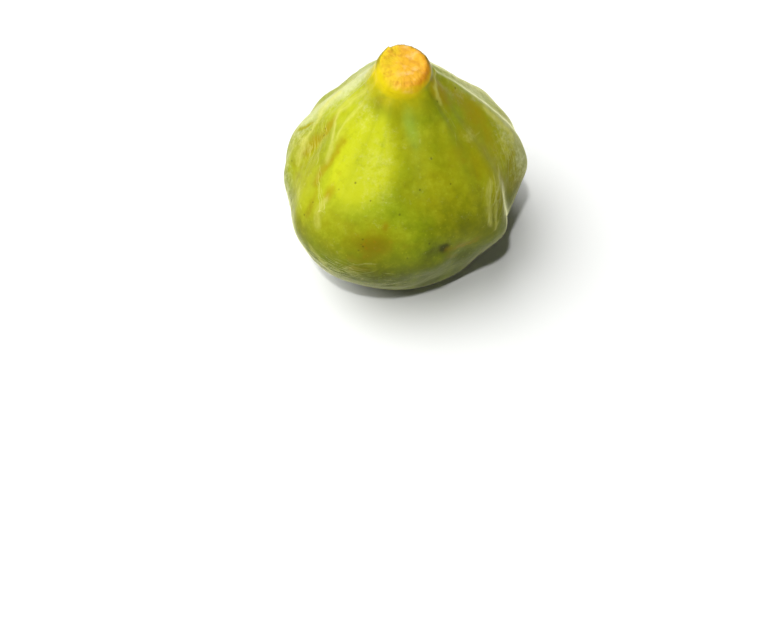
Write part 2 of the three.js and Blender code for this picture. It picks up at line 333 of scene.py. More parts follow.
# Patches of colour, by mask: angle, height, half width across and up the skin, strength.
PATCHES = {
    # Bruises: amber on the shoulder and brown below it.
    "brown": (
        (-132, 30, 1.3, 1.5, 0.8), (-132, 33, 0.8, 0.5, 0.4), (-139, 27, 1.4, 1.6, 0.4),
        (-162, 25, 3, 3, 0.3), (-112, 25, 4.5, 2.6, 0.4), (-101, 24.5, 4, 2.6, 0.75),
        (-98, 27.8, 0.6, 0.6, 0.8), (-3, 35.5, 3.2, 3, 0.3), (-20, 33, 7, 7, 0.4),
        (-46, 35, 3.5, 3.5, 0.3), (-22, 23.6, 1.6, 2.6, 0.4), (60, 29, 5, 5, 0.5),
        (128, 24, 5, 6, 0.5), (-14, 45, 2, 2.2, 1), (-22, 42.5, 1.8, 2.2, 0.7), (3, 39, 3, 4, 0.45),
        (-170, 29, 4, 5, 0.3), (-10, 21, 4, 5, 0.45), (-30, 24, 3, 4, 0.3),
    ),
    # Almost black: dark in and round the dents, and painted shade beside the neck under the rim.
    "dark_spots_and_shade": (
        (-67.5, 21.2, 1.2, 1.2, 1), (-75, 21.2, 4.5, 2, 0.6), (-50, 42.5, 2.4, 3, 0.5),
        (-128, 43.5, 1.8, 2.2, 0.5), (-175, 21.2, 0.6, 0.5, 0.9), (-23, 43.2, 1.8, 2.4, 0.75),
    ),
    # Deeper green, partly painted shade, low on the fruit and in the hollows on the side away from the lamps.
    "deep_green_and_shade": (
        (-82, 15, 9, 4, 0.4), (-56, 14, 9, 4, 0.3), (-58, 26.5, 7, 5.5, 0.5), (-40, 21, 6, 5, 0.3),
        (-78, 26, 5, 3.5, 0.3),
    ),
    # Bright cheeks, partly painted light on the side that faces the lamps.
    "bright_and_painted_light": (
        (-127, 36, 6, 6.5, 1), (-170, 38.5, 5, 5, 0.4), (165, 35, 5, 7, 0.4), (-145, 26, 5, 4, 0.45),
        (-114, 35, 6, 4.2, 0.6), (-98, 38, 4, 5, 0.2), (-166, 25.5, 5, 4, 0.4), (84, 32, 8, 7, 0.6),
    ),
    "grey_green": (
        (-84, 42.2, 1.4, 2.4, 0.5), (-78, 39.5, 1.4, 3, 0.5), (-79, 33, 2.2, 3, 0.25),
        (-106, 36, 5, 6, 0.2),
    ),
    # Worn and stretched skin, and painted rim light along the edges of the shoulders.
    "pale_and_painted_light": (
        (-23, 35.3, 2.4, 1.2, 0.5), (176, 28, 4, 4, 0.35), (-178, 22, 4, 5, 0.45),
        (-166, 18, 3, 4.5, 0.45), (-150, 16, 3, 3.5, 0.4), (-4, 29.3, 1.8, 2.4, 0.5),
        (6, 28.8, 1.6, 2, 0.4), (-152, 25.7, 1.6, 2.2, 0.3), (-114, 13, 8, 2, 0.3),
        (-6, 22, 3, 4, 0.4), (-138, 40, 2.4, 2.4, 0.4), (-106, 35, 4, 6, 0.4), (-126, 35, 5, 5, 0.08),
        (39, 38, 2.6, 5, 0.7), (39, 31, 3.6, 6, 0.6), (36, 25, 3.6, 4, 0.5),
        (160, 38, 4, 6, 0.5),
    ),
    # White bloom, with painted sheen along the rim where the lamps catch it, thickest on the shoulders at
    # both sides.
    "bloom_and_sheen": (
        (165, 35, 4, 7, 0.5), (154, 41, 2.5, 5, 0.6), (156, 36, 3, 8, 0.7), (-150, 42.5, 2.6, 2.4, 0.3),
        (171, 29, 2.4, 4, 0.7), (-172, 20, 4, 5, 0.45), (-143, 15, 11, 4.5, 0.4), (-110, 10, 8, 3, 0.12),
        (-1, 24, 4, 7, 0.6), (10, 28, 3, 6, 0.6), (20, 37, 5, 5, 0.4), (34, 32, 3, 7, 0.4),
        (75, 37, 4, 5, 0.4), (118, 33, 4, 6, 0.5), (140, 24, 5, 5, 0.4),
    ),
}
# Patches of fine folds: angle, height, half width across and up the skin, slope in degrees, strength.
FOLDS = (
    (-32, 25, 6.5, 5.5, 40, 0.48), (-8, 26, 5, 6, 60, 0.65), (-170, 30.5, 6, 4.5, -25, 0.7),
    (-118, 17.5, 7, 3.5, -6, 0.9), (-100, 12.5, 9, 2.5, 4, 0.6), (-160, 20, 5, 4, 75, 0.5),
    (60, 27, 8, 7, 70, 0.7), (112, 25, 9, 7, 95, 0.7), (150, 16, 9, 4, 10, 0.6),
)
FOLD_RELIEF = 0.14
FOLD_SHARPNESS = 3
# How much the pattern is stretched along the folds, and how far apart those of two patches lie.
FOLD_STRETCH = 0.16
FOLD_SPACING = 10.0
# Where two patches of folds meet, both fade out over this much of their strength.
FOLD_MEETING = 0.2

# Noise in the form: waves a millimetre, and where it starts.
STRAY_NOISE = {"scale": 0.5, "seed": 3.1}
FOLD_NOISE = {"scale": 0.5, "octaves": 2}
SCAR_NOISE = {"scale": 0.7, "seed": 7.7}
EDGE_NOISE = {"scale": 1.1, "seed": 5.3}
SCAR_RELIEF = 0.1
EDGE_RELIEF = 0.2
NOISE_SMOOTHNESS, NOISE_GAP = 1.0, 2.0

# The scar lies a little to the back right of the cut's middle. Its mask sinks where the rim turns down.
SCAR_SHIFT_X, SCAR_SHIFT_Y = 0.35, 0.3
SCAR_RADIUS_X, SCAR_RADIUS_Y = 5.0, 5.4
SCAR_SINK, SCAR_TURNS_DOWN = 3, (0.955, 0.98)
# The yellow collar: the way it faces, how many degrees from there it is whole and gone, and how strong it
# is over which part of the height. A narrow one runs all round the cut.
COLLAR_ANGLE, COLLAR_WHOLE, COLLAR_GONE = -140, 60, 130
COLLAR_FAINT, COLLAR_FAINT_PART = 0.45, (0.86, 0.95)
COLLAR_FULL, COLLAR_FULL_PART = 0.55, (0.94, 0.985)
COLLAR_ROUND, COLLAR_ROUND_PART = 0.9, (0.967, 0.985)
# The shade on the front of the neck, under the collar.
NECK_SHADE, NECK_SHADE_BEGINS, NECK_SHADE_ENDS = 0.6, (0.86, 0.9), (0.93, 0.97)
# The olive edge of the skin behind the scar.
EDGE_ANGLE, EDGE_WHOLE, EDGE_GONE = 95, 75, 105
EDGE_PART, EDGE_RADIUS = (0.972, 0.984), (4.6, 4.95)
# The colour of the eye reaches this far, and only on the underside.
EYE_COLOUR_RADIUS = (0.9 * EYE_RADIUS, 1.5 * EYE_RADIUS)
UNDERSIDE = 0.2
# How much the streaks that run down the fruit are stretched.
STREAK_STRETCH = 0.3


def beside_line(points, radius, height, angle):
    """Distance over the skin to a bent line in millimetres, negative to its right as it is drawn."""
    nearest = np.full(np.broadcast(radius, angle).shape, FAR_AWAY)
    for (angle_a, height_a), (angle_b, height_b) in zip(points, points[1:]):
        here_x = np.radians(turn(angle_a, angle)) * radius
        run_x = math.radians(float(turn(angle_a, angle_b))) * radius
        here_y = (height - height_a) * SLANT
        run_y = (height_b - height_a) * SLANT
        share = np.clip((here_x * run_x + here_y * run_y) / (run_x**2 + run_y**2 + TINY), 0, 1)
        gap = np.hypot(here_x - share * run_x, here_y - share * run_y)
        side = np.where(run_x * here_y > run_y * here_x, gap, -gap)
        nearest = np.where(gap < np.abs(nearest), side, nearest)
    return nearest


def strokes_at(rows, radius, height, angle, wander):
    """How much of a stroke lies at each point, 0 to 1, and the signed distance to its middle."""
    amount = np.zeros(np.broadcast(radius, angle).shape)
    side = np.full_like(amount, SIDE_LIMIT)
    for width, strength, points in rows:
        distance = beside_line(points, radius, height, angle) + wander * width * STRAYING
        here = strength * bump(distance, width)
        side = np.where(here > amount, distance, side)
        amount = np.maximum(amount, here)
    return amount, np.clip(side, -SIDE_LIMIT, SIDE_LIMIT)


def lines_at(rows, reach, radius, height, angle, wander):
    """The same for thin lines, which all reach equally far."""
    widened = [(reach, strength, points) for strength, points in rows]
    return strokes_at(widened, radius, height, angle, wander)


def grid_noise(points, scale, octaves=3, seed=0.0):
    """Blender's own smooth noise at every point of a grid, about -1 to 1."""
    flat = points.reshape(-1, 3) * scale + seed
    values = [noise.fractal(Vector(point), NOISE_SMOOTHNESS, NOISE_GAP, octaves) for point in flat]
    return np.array(values).reshape(points.shape[:-1])


def folds_at(radius, height, angle):
    """How much of a fold lies at each point, and a place whose X runs across the folds, in millimetres."""
    most = np.zeros(np.broadcast(radius, angle).shape)
    second = np.zeros_like(most)
    place = np.zeros((*most.shape, 3))
    for number, (at, up, across, along, slope, strength) in enumerate(FOLDS):
        sideways = np.radians(turn(at, angle)) * radius
        upwards = (height - up) * SLANT
        amount = strength * bump(sideways, across) * bump(height - up, along)
        lean = math.radians(slope)
        over = upwards * math.cos(lean) - sideways * math.sin(lean)
        down = upwards * math.sin(lean) + sideways * math.cos(lean)
        apart = np.full_like(over, FOLD_SPACING * number)
        here = np.stack([over, down * FOLD_STRETCH, apart], axis=-1)
        nearer = amount > most
        place = np.where(nearer[..., None], here, place)
        second = np.maximum(second, np.minimum(amount, most))
        most = np.maximum(amount, most)
    return most * smooth(most - second, 0, FOLD_MEETING), place


def from_nearest_dot(radius, height, angle):
    """The way over the skin from the nearest dot, in millimetres across and up."""
    nearest = np.full(np.broadcast(radius, angle).shape, FAR_AWAY)
    place = np.zeros((*nearest.shape, 3))
    for at, up in DOTS:
        across = np.radians(turn(at, angle)) * radius
        upwards = (height - up) * SLANT
        here = np.stack(np.broadcast_arrays(across, upwards, 0.0), -1)
        away = np.hypot(here[..., 0], here[..., 1])
        nearer = away < nearest
        place = np.where(nearer[..., None], here, place)
        nearest = np.where(nearer, away, nearest)
    return np.clip(place, -SIDE_LIMIT, SIDE_LIMIT)


def fine_relief(plain, radius, height, angle):
    """Strokes and folds: their lift in millimetres, their masks, and the place that the folds follow."""
    wander = grid_noise(plain, **STRAY_NOISE)
    here = (radius, height, angle, wander)
    bands, band_side = strokes_at(BANDS, *here)
    creases = strokes_at(CREASES, *here)[0]
    vein_near, vein_side = lines_at(VEINS, VEIN_REACH, *here)
    line_near, line_side = lines_at(LINES, LINE_REACH, *here)
    folds, fold_place = folds_at(radius, height, angle)
    ridges = folds * (1 - FOLD_SHARPNESS * np.abs(grid_noise(fold_place, **FOLD_NOISE)))
    veins = VEIN_LIFT * vein_near * bump(vein_side, VEIN_WIDTH)
    lines = LINE_LIFT * line_near * bump(line_side, VEIN_WIDTH)
    lift = veins + lines + BAND_LIFT * bands - CREASE_DEPTH * creases + FOLD_RELIEF * ridges
    masks = {
        "band": bands, "band_side": band_side, "crease_and_shade": creases, "fold": folds,
        "vein_near": vein_near, "vein_side": vein_side, "line_near": line_near, "line_side": line_side,
    }
    return lift, masks, fold_place


def skin_points(rings, angle, relief, plain):
    """The plain section, pushed out by lobes and relief, then tilted, worn and roughened at the cut."""
    radius, height, outward, upward = rings
    around = np.radians(angle)
    share = height / HEIGHT
    belly = smooth(share, *LOBES_BEGIN) * (1 - LOBES_LOSS * smooth(share, *LOBES_END))
    lobes = sum(part * np.cos(crests * np.radians(angle - at)) for crests, part, at in LOBES)
    reach = radius * (1 + belly * lobes) + relief * outward
    lean = smooth(share, *LEAN_PART)
    x = reach * np.cos(around) + NECK_LEAN_X * lean
    y = reach * np.sin(around) + NECK_LEAN_Y * lean

    cap = smooth(share, *CAP_PART)
    front = facing_front(around)
    edge = smooth(reach, DOME_START * CUT_RADIUS, CUT_RADIUS) * cap
    rim = bump(reach - CUT_RADIUS + 0.5 * RIM_ROUND, RIM_ROUND) * smooth(share, *RIM_PART)
    tilt = math.tan(math.radians(CUT_TILT_FORWARD)) * y - math.tan(math.radians(CUT_TILT_RIGHT)) * x
    z = height + relief * upward + cap * tilt - RIM_DROP * front * edge
    z = z + rim * (LIP_HEIGHT * (1 - front) + SPUR_LIFT * bump(turn(SPUR_ANGLE, angle), SPUR_SPREAD))
    z = z + smooth(share, *FACE_PART) * grid_noise(plain, **SCAR_NOISE) * SCAR_RELIEF
    z = z + rim * grid_noise(plain, **EDGE_NOISE) * EDGE_RELIEF
    in_eye = (height < EYE_RECESS + EYE_RISE) & (radius < EYE_RADIUS)
    z = z - np.where(in_eye, eye_relief(radius, angle), 0)
    return np.stack([x, y, flattened(z)], axis=-1)


def end_masks(radius, height, angle):
    """Masks at both ends of the fruit: the scar, collar, edge and shade of the cut, and the eye."""
    around = np.radians(angle)
    share = height / HEIGHT
    scar_x = (radius * np.cos(around) - SCAR_SHIFT_X) / SCAR_RADIUS_X
    scar_y = (radius * np.sin(around) - SCAR_SHIFT_Y) / SCAR_RADIUS_Y
    sunk = SCAR_SINK * (1 - smooth(share, *SCAR_TURNS_DOWN))
    collar = COLLAR_FAINT * smooth(share, *COLLAR_FAINT_PART) + COLLAR_FULL * smooth(share, *COLLAR_FULL_PART)
    collar = towards(COLLAR_ANGLE, angle, COLLAR_WHOLE, COLLAR_GONE) * collar
    shade = NECK_SHADE * smooth(share, *NECK_SHADE_BEGINS) * (1 - smooth(share, *NECK_SHADE_ENDS))
    edge = towards(EDGE_ANGLE, angle, EDGE_WHOLE, EDGE_GONE) * smooth(share, *EDGE_PART)
    return {
        "inside_scar": (1 - np.hypot(scar_x, scar_y)) * CUT_RADIUS - sunk,
        "cut_side": np.clip(scar_x, -1, 1),
        "collar": np.maximum(collar, COLLAR_ROUND * smooth(share, *COLLAR_ROUND_PART)),
        "neck_shade": shade * facing_front(around),
        "cut_edge": edge * smooth(radius, *EDGE_RADIUS),
        "eye": np.where(share < UNDERSIDE, 1 - smooth(radius, *EYE_COLOUR_RADIUS), 0),
    }


def fig_surface():
    """Points of the skin on a grid of rings and sides, in millimetres, and the masks and places at each."""
    rings = section()
    radius, height = rings[:2]
    angle = (np.arange(SIDES) * 360 / SIDES)[None, :]
    around = np.radians(angle)
    share = height / HEIGHT
    flat = np.zeros_like(radius * around)
    direction = np.stack([flat + np.cos(around), flat + np.sin(around), flat], axis=-1)
    plain = direction * radius[..., None]
    plain[..., 2] = height

    ribs = rib_lift(radius, height, angle)
    fine, stroke_masks, fold_place = fine_relief(plain, radius, height, angle)
    skin = smooth(share, *SKIN_BEGINS) * (1 - smooth(share, *SKIN_ENDS))
    relief = ribs + skin * (lumps(height, angle) + humps(SWELLS, radius, height, angle) + fine)
    points = skin_points(rings, angle, relief, plain)

    masks = {"rib": ribs, "up": share, **stroke_masks, **end_masks(radius, height, angle)}
    for name, rows in PATCHES.items():
        masks[name] = np.clip(humps(rows, radius, height, angle), 0, 1)
    masks = {name: np.broadcast_to(mask, flat.shape) for name, mask in masks.items()}
    streak = direction.copy()
    streak[..., 2] = share * STREAK_STRETCH
    dots = from_nearest_dot(radius, height, angle)
    return points, masks, {"streak": streak, "fold_place": fold_place, "from_dot": dots}


def into_box(points, low, high):
    """Moves and scales the points by a hair, to fill exactly the box of the solid they replace."""
    flat = points.reshape(-1, 3)
    size = flat.max(axis=0) - flat.min(axis=0)
    share = (flat - flat.min(axis=0)) / size
    return (np.array(low) + share * (np.array(high) - np.array(low))).reshape(points.shape)


def grid_mesh(name, points):
    """A closed mesh from rings of points. The first and the last ring are single points."""
    rings, sides = points.shape[:2]
    vertices = per_vertex(points)
    top = len(vertices) - 1

    def index(ring, side):
        return 1 + (ring - 1) * sides + side % sides

    faces = [(0, index(1, side + 1), index(1, side)) for side in range(sides)]
    for ring in range(1, rings - 2):
        for side in range(sides):
            here, beside = index(ring, side), index(ring, side + 1)
            faces.append((here, beside, beside + sides, here + sides))
    faces.extend((index(rings - 2, side), index(rings - 2, side + 1), top) for side in range(sides))
    mesh = bpy.data.meshes.new(name)
    mesh.from_pydata(vertices.tolist(), [], faces)
    mesh.shade_smooth()
    mesh.validate()
    return mesh


def per_vertex(grid):
    """One row for each vertex of a grid mesh: the first and the last ring are one point each."""
    return np.concatenate([grid[:1, 0], grid[1:-1].reshape(-1, *grid.shape[2:]), grid[-1:, 0]])


def add_mask(mesh, name, grid):
    layer = mesh.attributes.new(name, "FLOAT", "POINT")
    layer.data.foreach_set("value", per_vertex(grid).astype(np.float32))


def add_place(mesh, name, grid):
    layer = mesh.attributes.new(name, "FLOAT_VECTOR", "POINT")
    layer.data.foreach_set("vector", per_vertex(grid).astype(np.float32).ravel())


# ---- colours
def srgb(red, green, blue):
    """A colour given as it looks on a screen, 0 to 255, as the linear values that a shader takes."""
    linear = []
    for value in (red, green, blue):
        share = value / 255
        linear.append(share / 12.92 if share <= 0.04045 else ((share + 0.055) / 1.055) ** 2.4)
    return (*linear, 1.0)


OLIVE_GREEN = srgb(154, 154, 10)
LEAF_GREEN = srgb(138, 154, 15)
BRIGHT_GREEN = srgb(186, 192, 20)
# Deep green, also painted shade low on the fruit.
LOW_GREEN = srgb(69, 77, 0)
GREY_GREEN = srgb(138, 171, 60)
PALE_GREEN = srgb(208, 206, 104)
PALE_MOTTLE = srgb(193, 198, 49)
FOLD_GREEN = srgb(205, 206, 128)
AMBER = srgb(159, 143, 0)
BROWN = srgb(128, 115, 2)
# Whitish bloom, also painted sheen at the rim.
BLOOM_AND_SHEEN = srgb(206, 210, 164)
RED_BROWN = srgb(166, 107, 8)
# Near black, also painted shade beside the neck.
DARK_OLIVE = srgb(40, 38, 0)
SPECK = srgb(73, 70, 11)
NECK_OLIVE = srgb(140, 143, 8)
COLLAR_YELLOW = srgb(213, 192, 7)
SCAR_YELLOW = srgb(230, 198, 43)
SCAR_ORANGE = srgb(231, 175, 48)
SCAR_TAN = srgb(208, 146, 44)
SCAR_PINK = srgb(240, 195, 115)
SCAR_RUST = srgb(196, 124, 16)
SKIN_EDGE = srgb(111, 104, 16)
EYE_BROWN = srgb(129, 70, 41)


class Shader:
    """Adds nodes to one material and links them, so that a material reads as a list of steps."""

    def __init__(self, name):
        self.material = bpy.data.materials.new(name)
        self.material.use_nodes = True
        self.tree = self.material.node_tree
        self.surface = self.tree.nodes["Principled BSDF"]

    def add(self, kind, **settings):
        node = self.tree.nodes.new("ShaderNode" + kind)
        for name, value in settings.items():
            setattr(node, name, value)
        return node

    def put(self, socket, value):
        """Links the socket to another node's, or gives it a plain value."""
        if isinstance(value, bpy.types.NodeSocket):
            self.tree.links.new(value, socket)
        else:
            socket.default_value = value

    def fill(self, node, **values):
        """Links or sets several sockets of a node, by their names."""
        for name, value in values.items():
            self.put(node.inputs[name], value)

    def mask(self, name):
        return self.add("Attribute", attribute_name=name).outputs["Fac"]

    def vector(self, name):
        return self.add("Attribute", attribute_name=name).outputs["Vector"]

    def math(self, operation, first, second=0.0):
        node = self.add("Math", operation=operation)
        self.put(node.inputs[0], first)
        self.put(node.inputs[1], second)
        return node.outputs[0]

    def times(self, first, second):
        return self.math("MULTIPLY", first, second)

    def plus(self, first, second):
        return self.math("ADD", first, second)

    def minus(self, first, second):
        return self.math("SUBTRACT", first, second)

    def larger(self, first, second):
        return self.math("MAXIMUM", first, second)

    def ramp(self, value, low, high, to_low=0.0, to_high=1.0):
        """A smooth step from `to_low` at `low` to `to_high` at `high`, which may be the smaller."""
        node = self.add("MapRange", interpolation_type="SMOOTHSTEP")
        for socket, given in zip(node.inputs, (value, low, high, to_low, to_high)):
            self.put(socket, given)
        return node.outputs[0]

    def fade(self, value, low, high):
        """A smooth step down: 1 below `low` and 0 above `high`."""
        return self.ramp(value, low, high, 1.0, 0.0)

    def mix(self, share, low, high):
        node = self.add("Mix", data_type="RGBA")
        self.put(node.inputs["Factor"], share)
        self.put(node.inputs[6], low)
        self.put(node.inputs[7], high)
        return node.outputs[2]

    def over(self, colour, tone, amount, strength):
        """Lays a tone over a colour."""
        return self.mix(self.times(amount, strength), colour, tone)

    def noise(self, vector, scale, detail=3.0, roughness=0.5, distortion=0.0):
        node = self.add("TexNoise")
        self.fill(node, Vector=vector, Scale=scale, Detail=detail, Roughness=roughness, Distortion=distortion)
        return node.outputs["Fac"]

    def ragged(self, vector, scale, detail=3.0, roughness=0.5):
        """Noise round zero, for breaking up an edge."""
        return self.minus(self.noise(vector, scale, detail, roughness), NOISE_MIDDLE)

    def cells(self, vector, scale):
        """Distance to the nearest of many scattered points."""
        node = self.add("TexVoronoi")
        self.fill(node, Vector=vector, Scale=scale)
        return node.outputs["Distance"]

    def bump(self, height, distance, strength, normal=None):
        node = self.add("Bump")
        self.fill(node, Strength=strength, Distance=distance, Height=height)
        if normal is not None:
            self.fill(node, Normal=normal)
        return node.outputs["Normal"]


# The middle of Blender's noise.
NOISE_MIDDLE = 0.5

# The ground: cells a metre of its patterns (but for the streaks), how far the clouds shift the edges of the
# low green, which is partly painted shade, and of the bright green, which is partly painted light, and
# strengths.
CLOUDS, STREAKS, MOTTLE = 60, 7, 520
CLOUDS_IN_LOW, CLOUDS_IN_BRIGHT = 0.25, 0.8
LOW_SKIN, LOW_STRENGTH = (0.28, 0.6), 0.95
STREAK_STRENGTH = 0.3
FLECKS_LOW_DOWN, FLECKS_ABOVE = 0.1, 0.3
DEEP_MOTTLE = 0.2


def ground_colour(s, place):
    """Green of the skin: cloudy, brighter in places with painted light, deeper and greener low down with
    painted shade, finely mottled.
    """
    clouds = s.noise(place, CLOUDS, detail=4, roughness=0.55)
    streaks = s.noise(s.vector("streak"), STREAKS, detail=4, roughness=0.6)
    mottle = s.noise(place, MOTTLE, detail=4, roughness=0.7)
    colour = s.mix(s.ramp(clouds, 0.35, 0.68), OLIVE_GREEN, LEAF_GREEN)
    # Painted shade: deeper green low down.
    low = s.plus(s.mask("up"), s.times(s.minus(clouds, NOISE_MIDDLE), CLOUDS_IN_LOW))
    colour = s.mix(s.ramp(low, *LOW_SKIN, LOW_STRENGTH, 0.0), colour, LOW_GREEN)
    # Painted light: brighter green where the lamps fall.
    bright_and_painted_light = s.plus(s.mask("bright_and_painted_light"), s.times(s.minus(clouds, NOISE_MIDDLE), CLOUDS_IN_BRIGHT))
    colour = s.mix(s.ramp(bright_and_painted_light, 0.1, 0.9), colour, BRIGHT_GREEN)
    colour = s.over(colour, LEAF_GREEN, s.ramp(streaks, 0.5, 0.8), STREAK_STRENGTH)
    fleck = s.ramp(s.mask("up"), 0.25, 0.6, FLECKS_LOW_DOWN, FLECKS_ABOVE)
    colour = s.over(colour, PALE_MOTTLE, s.ramp(mottle, 0.45, 0.75), fleck)
    return s.over(colour, LOW_GREEN, s.ramp(mottle, 0.5, 0.25), DEEP_MOTTLE)


# Patches: cells a metre of the noise that breaks their edges, and how far it moves them.
RAGGED_EDGES, RUST_SPOTS, FINE_FLECKS = 300, 900, 850
RAGGED_PATCH, RAGGED_PALE, RAGGED_BLOOM_AND_SHEEN = 0.9, 0.9, 0.8
FLECKS_IN_PALE, FLECKS_IN_BLOOM_AND_SHEEN = 1.6, 1.2
AMBER_ABOVE = (0.52, 0.64)
PATCH_START = 0.05
RUST_STRENGTH, PALE_STRENGTH, BLOOM_AND_SHEEN_STRENGTH = 0.2, 0.6, 0.7
# How much a crease thins the pale patches with their painted rim light, and the bloom with its painted sheen,
# over it.
CREASE_CLEAR = 0.7


def with_patches(s, place, colour):
    """Lays the dark and brown patches, partly painted shade, over the ground colour, with edges that the
    noise breaks up.
    """
    ragged = s.ragged(place, RAGGED_EDGES, detail=6, roughness=0.7)
    brown = s.mix(s.ramp(s.mask("up"), *AMBER_ABOVE), BROWN, AMBER)
    for name, tone, strength, full in (
        # Painted shade: deeper green low down and away from the lamps.
        ("deep_green_and_shade", LOW_GREEN, 0.8, 0.95),
        ("grey_green", GREY_GREEN, 0.6, 0.95),
        # Painted shade beside the neck, and the dark spots.
        ("dark_spots_and_shade", DARK_OLIVE, 0.85, 1.1),
        ("brown", brown, 0.9, 0.95),
        # Painted shade in the creases, over their own brown.
        ("crease_and_shade", brown, 0.9, 1.3),
    ):
        spread = s.plus(s.mask(name), s.times(ragged, RAGGED_PATCH))
        colour = s.over(colour, tone, s.ramp(spread, PATCH_START, full), strength)
    rusty = s.larger(s.mask("brown"), s.mask("crease_and_shade"))
    rust = s.times(s.ramp(s.noise(place, RUST_SPOTS, detail=2), 0.56, 0.7), s.ramp(rusty, 0.2, 0.8))
    colour = s.over(colour, RED_BROWN, rust, RUST_STRENGTH)
    return with_pale_patches(s, place, colour, ragged)


def with_pale_patches(s, place, colour, ragged):
    """Worn pale skin with painted rim light, and white bloom with painted sheen, both flecked and thin in the
    creases.
    """
    flecks = s.ragged(place, FINE_FLECKS, detail=4, roughness=0.75)
    # Pale skin, partly painted rim light.
    pale_and_painted_light = s.minus(s.mask("pale_and_painted_light"), s.times(s.mask("crease_and_shade"), CREASE_CLEAR))
    pale_and_painted_light = s.plus(pale_and_painted_light, s.plus(s.times(ragged, RAGGED_PALE), s.times(flecks, FLECKS_IN_PALE)))
    colour = s.over(colour, PALE_GREEN, s.ramp(pale_and_painted_light, 0.15, 1.0), PALE_STRENGTH)
    # Bloom with painted sheen along the rim.
    bloom_and_sheen = s.minus(s.mask("bloom_and_sheen"), s.times(s.mask("crease_and_shade"), CREASE_CLEAR))
    bloom_and_sheen = s.plus(bloom_and_sheen, s.plus(s.times(ragged, RAGGED_BLOOM_AND_SHEEN), s.times(flecks, FLECKS_IN_BLOOM_AND_SHEEN)))
    return s.over(colour, BLOOM_AND_SHEEN, s.ramp(bloom_and_sheen, 0.1, 1.1), BLOOM_AND_SHEEN_STRENGTH)


# Thin lines: cells a metre of the noise that bends and breaks them, how far it bends them, half widths
# in millimetres, and what the gaps leave. A fold's widths are values of its noise.
LINE_WANDER, LINE_BREAKS = 180, 400
WANDER_REACH = 0.7
THREAD_MIDDLE, SINGLE_MIDDLE, SINGLE_EDGE = 0.04, 0.05, 0.3
THREAD_GAPS, SINGLE_GAPS = 0.05, 0.3
FOLD_MIDDLE, FOLD_EDGE = 0.0, 0.055


def vein_lines(s, place):
    """Thin lines that wander and come and go, 0 to 1: the threads of each bundle, and the single ones."""
    wander = s.times(s.ragged(place, LINE_WANDER, detail=4), WANDER_REACH)
    side = s.plus(s.mask("vein_side"), wander)
    threads = 0.0
    for offset, width, spacing in THREADS:
        thread = s.fade(s.math("ABSOLUTE", s.plus(side, offset)), THREAD_MIDDLE, width)
        here = s.ramp(s.noise(place, spacing, detail=2), 0.44, 0.62, THREAD_GAPS, 1.0)
        threads = s.larger(threads, s.times(thread, here))
    threads = s.times(threads, s.ramp(s.mask("vein_near"), 0.05, 0.6))
    single = s.math("ABSOLUTE", s.plus(s.mask("line_side"), wander))
    single = s.fade(single, SINGLE_MIDDLE, SINGLE_EDGE)
    here = s.ramp(s.noise(place, LINE_BREAKS, detail=3), 0.35, 0.55, SINGLE_GAPS, 1.0)
    single = s.times(single, here)
    return s.larger(threads, s.times(single, s.mask("line_near")))


def fold_lines(s):
    """Thin broken lines along the folds, 0 to 1."""
    pattern = s.noise(s.vector("fold_place"), 1.0, detail=3, roughness=0.55, distortion=0.15)
    line = s.math("ABSOLUTE", s.minus(pattern, NOISE_MIDDLE))
    return s.times(s.fade(line, FOLD_MIDDLE, FOLD_EDGE), s.ramp(s.mask("fold"), 0.1, 0.9))


# Pale bands, and ribs and lines that also carry a painted highlight on their crests.
STRANDS, STRAND_STRETCH = 1.7, 6.0
BAND_RAGGED_EDGES, BAND_RAGGED = 420, 0.7
BAND_THIN, BAND_THICK = 0.3, 0.62
BROKEN, BROKEN_THIN = 450, 0.35
RIB_PALENESS = 0.2
LINE_PALENESS = 0.6
PALER_ABOVE = (0.5, 0.65)


def with_bands(s, place, colour):
    """Pale ridges, softly edged and made of strands."""
    strand_place = s.add("CombineXYZ")
    s.put(strand_place.inputs[0], s.mask("band_side"))
    s.put(strand_place.inputs[1], s.times(s.mask("up"), STRAND_STRETCH))
    strands = s.noise(strand_place.outputs[0], STRANDS, detail=4, roughness=0.65, distortion=0.2)
    ragged = s.ragged(place, BAND_RAGGED_EDGES, detail=5, roughness=0.7)
    band = s.ramp(s.plus(s.mask("band"), s.times(ragged, BAND_RAGGED)), 0.05, 1.0)
    return s.over(colour, PALE_GREEN, band, s.ramp(strands, 0.3, 0.62, BAND_THIN, BAND_THICK))


def with_ribs_and_lines(s, place, colour, lines):
    """Ribs, veins and folds are paler than the skin between them, partly a painted highlight on their crests.
    """
    broken = s.ramp(s.noise(place, BROKEN, detail=5, roughness=0.7), 0.3, 0.65, BROKEN_THIN, 1.0)
    rib = s.ramp(s.mask("rib"), 0.3, 1.0, 0.0, RIB_PALENESS)
    pale_and_painted_light = s.larger(rib, s.times(lines, LINE_PALENESS))
    tone = s.mix(s.ramp(s.mask("up"), *PALER_ABOVE), FOLD_GREEN, PALE_GREEN)
    return s.over(colour, tone, pale_and_painted_light, broken)


# Dots: how many in a metre, the part of their spacing that each fills, and strength.
PALE_DOTS, PALE_DOT_SIZE, PALE_DOT_STRENGTH = 620, (0.06, 0.16), 0.2
DARK_SPECKS, DARK_SPECK_SIZE, DARK_SPECK_STRENGTH = 230, (0.03, 0.075), 0.6
# Specks are kept only where this noise is high.
SPECK_CHOICE, SPECK_CHOSEN = 130, (0.54, 0.6)
# The listed dots: half width in millimetres.
DOT_SIZE = (0.08, 0.3)
DOT_RAGGED_EDGES, DOT_RAGGED = 1500, 0.25


